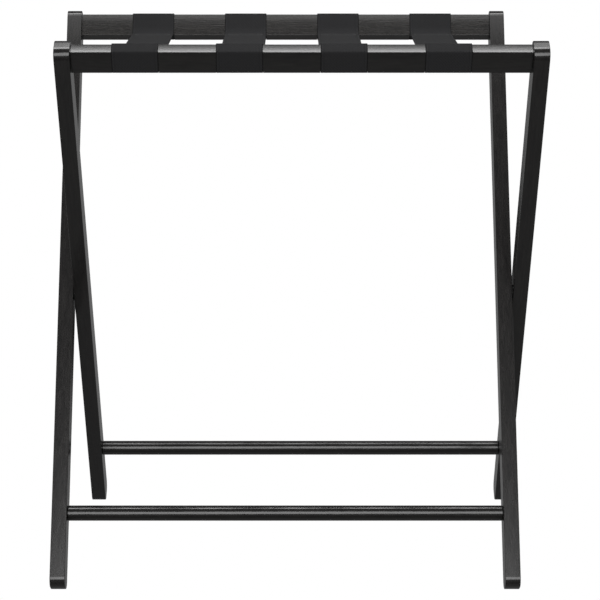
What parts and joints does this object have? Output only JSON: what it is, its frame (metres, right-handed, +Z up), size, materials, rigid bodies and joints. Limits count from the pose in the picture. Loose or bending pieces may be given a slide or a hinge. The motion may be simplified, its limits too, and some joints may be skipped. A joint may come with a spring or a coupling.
{
  "type": "folding luggage rack",
  "caption": "Folding X-frame luggage rack in black wood, with webbing straps between the top rails, round stretchers near the feet and a pivot bolt on each side.",
  "frame": {"origin": "on the floor, under the middle of the open rack's bounding box", "axes": "+Z up, +X to the right along the top rails, +Y to the rear, across the rack"},
  "size_m": [0.5534, 0.3778, 0.6259],
  "materials": {
    "black_wood": "black satin paint on hardwood",
    "webbing": "black woven polypropylene webbing",
    "black_steel": "black oxide",
    "zinc_steel": "zinc plated",
    "nylon": "moulded nylon",
    "beech": "bare turned beech"
  },
  "bodies": {
    "front_frame": {"front_top_rail": "black_wood", "front_stretcher": "black_wood", "front_leg_left": "black_wood", "front_leg_right": "black_wood", "front_rail_screw_left": "black_steel", "front_rail_screw_right": "black_steel", "front_stretcher_screw_left": "black_steel", "front_stretcher_screw_right": "black_steel", "front_pivot_bolt_left": "black_steel", "front_pivot_insert_left": "zinc_steel", "front_rail_pin_left": "beech", "front_rail_pin_right": "beech", "pivot_washer_left": "nylon", "pivot_washer_right": "nylon", "strap_1": "webbing", "strap_2": "webbing", "strap_3": "webbing", "strap_4": "webbing"},
    "rear_frame": {"rear_top_rail": "black_wood", "rear_stretcher": "black_wood", "rear_leg_left": "black_wood", "rear_leg_right": "black_wood", "rear_rail_screw_left": "black_steel", "rear_rail_screw_right": "black_steel", "rear_stretcher_screw_left": "black_steel", "rear_stretcher_screw_right": "black_steel", "rear_pivot_bolt_right": "black_steel", "rear_pivot_insert_right": "zinc_steel", "rear_rail_pin_left": "beech", "rear_rail_pin_right": "beech"}
  },
  "joints": [
    {"name": "fold", "type": "hinge", "parent": "front_frame", "child": "rear_frame", "pos_m": [0, 0, 0.30959], "axis": [1, 0, 0], "range_deg": [0, 54.2], "deforming": ["strap_1", "strap_2", "strap_3", "strap_4"]}
  ]
}
